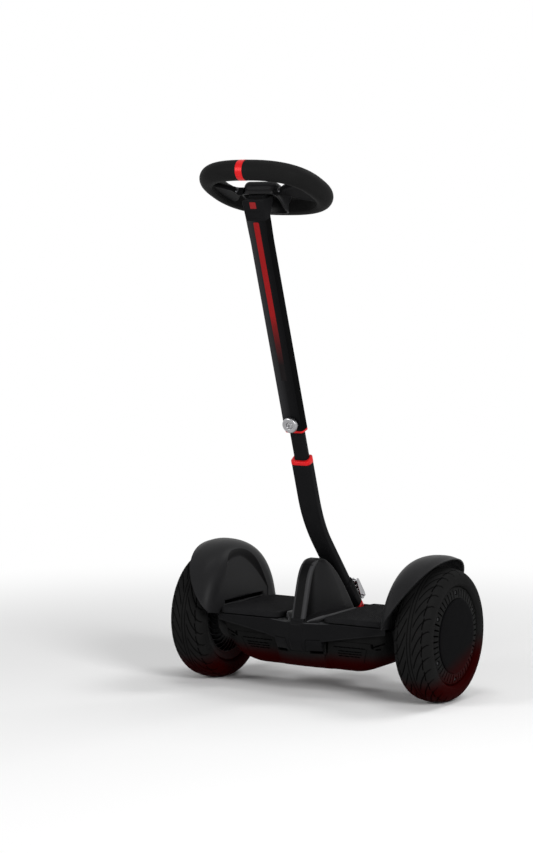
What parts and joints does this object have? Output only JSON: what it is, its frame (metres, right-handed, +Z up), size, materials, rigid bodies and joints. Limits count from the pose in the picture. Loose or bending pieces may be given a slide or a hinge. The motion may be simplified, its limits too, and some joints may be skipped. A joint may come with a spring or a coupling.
{
  "type": "self-balancing scooter",
  "caption": "Two-wheeled self-balancing scooter with foot mats, domed fenders and a leaning telescopic column that carries a steering ring.",
  "frame": {"origin": "centre of the bounding box on the floor", "axes": "+Z up, -Y the direction of travel, +X the rider's left, along the wheel axle"},
  "size_m": [0.5752, 0.4722, 1.022],
  "materials": {
    "tyre_rubber": "matt moulded rubber",
    "mat_rubber": "diamond-textured rubber",
    "satin_shell": "satin black moulding",
    "matt_plastic": "matt black moulding",
    "black_powder_coat": "satin black powder coat on aluminium",
    "black_cast_alloy": "black painted casting",
    "cast_magnesium": "cast frame",
    "bright_aluminium": "bright milled",
    "ground_steel": "ground",
    "wound_copper": "enamelled copper windings",
    "magnet_plate": "nickel plated",
    "red_anodised": "red anodised",
    "red_light": "red diffuser",
    "soft_grip": "soft grip skin over foam",
    "smoked_lens": "smoked window",
    "battery_wrap": "shrink wrapped"
  },
  "bodies": {
    "frame": {"main_frame": "cast_magnesium", "deck_cover": "satin_shell", "tail_cover": "satin_shell", "lower_tray": "matt_plastic", "battery_pack": "battery_wrap", "hump_cover": "satin_shell", "front_band": "satin_shell", "left_fender": "satin_shell", "right_fender": "satin_shell", "charge_socket": "matt_plastic", "left_tail_lamp": "red_light", "right_tail_lamp": "red_light", "front_bush": "bright_aluminium", "rear_bush": "bright_aluminium", "left_axle": "ground_steel", "right_axle": "ground_steel", "left_stator": "wound_copper", "right_stator": "wound_copper"},
    "left_wheel": {"left_tyre": "tyre_rubber", "left_rim": "black_cast_alloy", "left_outer_cover": "black_cast_alloy", "left_hub_cap": "satin_shell", "left_inner_cover": "black_cast_alloy", "left_magnet_ring": "magnet_plate", "left_outer_bearing": "ground_steel", "left_inner_bearing": "ground_steel"},
    "right_wheel": {"right_tyre": "tyre_rubber", "right_rim": "black_cast_alloy", "right_outer_cover": "black_cast_alloy", "right_hub_cap": "satin_shell", "right_inner_cover": "black_cast_alloy", "right_magnet_ring": "magnet_plate", "right_outer_bearing": "ground_steel", "right_inner_bearing": "ground_steel"},
    "left_mat": {"left_foot_mat": "mat_rubber"},
    "right_mat": {"right_foot_mat": "mat_rubber"},
    "button": {"power_button": "matt_plastic"},
    "port_flap": {"charge_flap": "mat_rubber"},
    "steering_base": {"pivot_shaft": "ground_steel", "column_socket": "black_cast_alloy", "base_ring": "red_anodised", "clamp_collar": "black_powder_coat", "lever_pin": "ground_steel"},
    "column": {"lower_tube": "black_powder_coat", "red_collar": "red_anodised", "inner_tube": "black_powder_coat"},
    "lever": {"release_lever": "bright_aluminium"},
    "handle": {"upper_tube": "black_powder_coat", "trim_ring": "red_anodised", "light_strip": "red_light", "column_head": "black_powder_coat", "hub_cover": "satin_shell", "display_lens": "smoked_lens", "steering_bridge": "black_cast_alloy", "left_spoke": "black_cast_alloy", "right_spoke": "black_cast_alloy", "steering_ring": "soft_grip", "steering_ring_mark": "red_anodised"},
    "knob": {"clamp_knob": "bright_aluminium", "knob_screw": "ground_steel"}
  },
  "joints": [
    {"name": "left_wheel_roll", "type": "hinge", "parent": "frame", "child": "left_wheel", "pos_m": [0.2493, 0.08663, 0.128], "axis": [1, 0, 0], "continuous": true},
    {"name": "right_wheel_roll", "type": "hinge", "parent": "frame", "child": "right_wheel", "pos_m": [-0.2493, 0.08663, 0.128], "axis": [1, 0, 0], "continuous": true},
    {"name": "lean_steer", "type": "hinge", "parent": "frame", "child": "steering_base", "pos_m": [0, 0.08663, 0.118], "axis": [0, 1, 0], "range_deg": [-8, 8], "stiffness_Nm_per_rad": 80},
    {"name": "column_release", "type": "slide", "parent": "steering_base", "child": "column", "axis": [0, -0.6561, 0.7547], "range_m": [0, 0.045]},
    {"name": "height_adjust", "type": "slide", "parent": "column", "child": "handle", "axis": [0, -0.3256, 0.9455], "range_m": [-0.05, 0.1]},
    {"name": "knob_turn", "type": "hinge", "parent": "handle", "child": "knob", "pos_m": [0, -0.04529, 0.52712], "axis": [0, -0.9455, -0.3256], "range_deg": [0, 360]},
    {"name": "lever_release", "type": "hinge", "parent": "steering_base", "child": "lever", "pos_m": [0, 0.22629, 0.16623], "axis": [-1, 0, 0], "range_deg": [0, 110]},
    {"name": "left_mat_press", "type": "slide", "parent": "frame", "child": "left_mat", "axis": [0, 0, -1], "range_m": [0, 0.0015], "stiffness_N_per_m": 40000},
    {"name": "right_mat_press", "type": "slide", "parent": "frame", "child": "right_mat", "axis": [0, 0, -1], "range_m": [0, 0.0015], "stiffness_N_per_m": 40000},
    {"name": "button_press", "type": "slide", "parent": "frame", "child": "button", "axis": [0, 0.7339, -0.6792], "range_m": [0, 0.001], "stiffness_N_per_m": 1500},
    {"name": "flap_open", "type": "hinge", "parent": "frame", "child": "port_flap", "pos_m": [-0.1, 0.18643, 0.1365], "axis": [1, 0, 0], "range_deg": [0, 100]}
  ]
}
